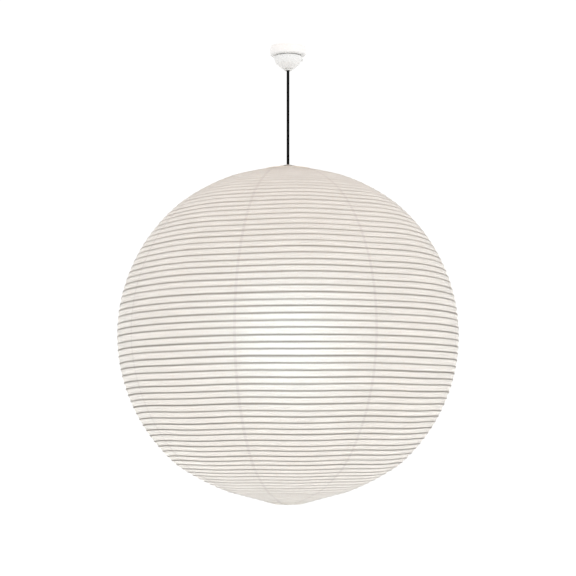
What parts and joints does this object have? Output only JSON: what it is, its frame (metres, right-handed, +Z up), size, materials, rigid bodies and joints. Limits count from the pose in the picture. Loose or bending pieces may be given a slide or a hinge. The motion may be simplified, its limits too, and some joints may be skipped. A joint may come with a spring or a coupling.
{
  "type": "paper pendant lantern",
  "caption": "Round paper pendant lantern: ribbed paper globe on wire hoops and a sprung frame, with lampholder and bulb, hung on a black cord from a twist-lock ceiling fitting.",
  "frame": {"origin": "centre of the ceiling face of the rosette, where the lantern is fixed", "axes": "+Z up, towards the ceiling; the cord and the shade's axis run down -Z; -Y is the front, midway across one paper gore's width and a little to its left"},
  "size_m": [0.745, 0.745, 1.0183],
  "materials": {
    "paper": "warm white mulberry paper, matt, translucent, with fine fibres",
    "cuff_paper": "doubled mulberry paper, matt",
    "bamboo": "split bamboo strip, matt, grey-brown against the light",
    "frame_wire": "bright drawn steel wire",
    "hoop_wire": "steel wire, painted off-white",
    "cord": "matt black two-core flex",
    "rosette": "white moulded plastic, satin",
    "plug": "white moulded plastic, satin",
    "bushing": "white soft plastic",
    "button": "pale grey moulded plastic",
    "holder": "white moulded plastic, satin",
    "ceramic": "unglazed white ceramic",
    "nickel": "nickel-plated sheet, rolled thread",
    "brass": "sprung brass strip",
    "screw": "zinc-plated screw",
    "cap_glass": "black glass-like insulator",
    "bulb_housing": "white moulded heat sink",
    "circuit_board": "green circuit board",
    "led_plate": "white-coated aluminium plate",
    "phosphor": "yellow phosphor ring",
    "bulb_globe": "opal diffuser"
  },
  "bodies": {
    "ceiling": {"rosette_base": "rosette", "rosette_cover": "rosette", "mounting_screw_left": "screw", "mounting_screw_right": "screw", "contact_spring_left": "brass", "contact_spring_right": "brass"},
    "plug": {"plug_insulator": "plug", "plug_blade_left": "brass", "plug_blade_right": "brass", "plug_cover": "plug", "cord_bushing": "bushing"},
    "lock_button": {"lock_button": "button"},
    "anchor": {"cord_anchor": "holder"},
    "pendant": {"cord": "cord", "holder_cord_grip": "holder", "holder_cap": "holder", "holder_shell": "holder", "holder_core": "ceramic", "holder_screw_shell": "nickel", "holder_centre_contact": "brass", "holder_side_contact": "brass", "shade_ring_upper": "holder"},
    "retaining_ring": {"shade_ring_lower": "holder"},
    "bulb": {"bulb_screw_cap": "nickel", "bulb_cap_insulator": "cap_glass", "bulb_tip_contact": "nickel", "bulb_housing": "bulb_housing", "bulb_driver_board": "circuit_board", "led_board": "led_plate", "led_emitter": "phosphor", "bulb_globe": "bulb_globe"},
    "shade": {"frame_leg_left": "frame_wire", "frame_leg_right": "frame_wire", "frame_top_bar": "frame_wire", "frame_holder_ring": "frame_wire", "frame_foot": "frame_wire", "bottom_hoop": "hoop_wire", "bottom_cuff": "cuff_paper", "paper_gore_1": "paper", "paper_gore_2": "paper", "paper_gore_3": "paper", "paper_gore_4": "paper", "paper_gore_5": "paper", "paper_gore_6": "paper", "paper_gore_7": "paper", "paper_gore_8": "paper", "rib_spiral": "bamboo"},
    "top_hoop": {"top_hoop": "hoop_wire", "top_cuff": "cuff_paper"}
  },
  "joints": [
    {"name": "plug_twist", "type": "hinge", "parent": "ceiling", "child": "plug", "pos_m": [0, 0, -0.022], "axis": [0, 0, 1], "range_deg": [0, 25]},
    {"name": "lock_press", "type": "slide", "parent": "plug", "child": "lock_button", "axis": [-1, 0, 0], "range_m": [0, 0.002], "stiffness_N_per_m": 200, "springref_m": -0.002},
    {"name": "swing_side", "type": "hinge", "parent": "plug", "child": "anchor", "pos_m": [0, 0, -0.05], "axis": [0, 1, 0], "range_deg": [-10, 10]},
    {"name": "swing_front", "type": "hinge", "parent": "anchor", "child": "pendant", "pos_m": [0, 0, -0.05], "axis": [1, 0, 0], "range_deg": [-10, 10]},
    {"name": "ring_unscrew", "type": "slide", "parent": "pendant", "child": "retaining_ring", "axis": [0, 0, -1], "range_m": [0, 0.01]},
    {"name": "bulb_unscrew", "type": "slide", "parent": "pendant", "child": "bulb", "axis": [0, 0, -1], "range_m": [0, 0.026]},
    {"name": "shade_turn", "type": "hinge", "parent": "pendant", "child": "shade", "pos_m": [0, 0, -0.583], "axis": [0, 0, 1], "continuous": true},
    {"name": "shade_collapse", "type": "slide", "parent": "shade", "child": "top_hoop", "axis": [0, 0, -1], "range_m": [0, 0.68], "deforming": ["paper_gore_1", "paper_gore_2", "paper_gore_3", "paper_gore_4", "paper_gore_5", "paper_gore_6", "paper_gore_7", "paper_gore_8", "rib_spiral"]}
  ]
}
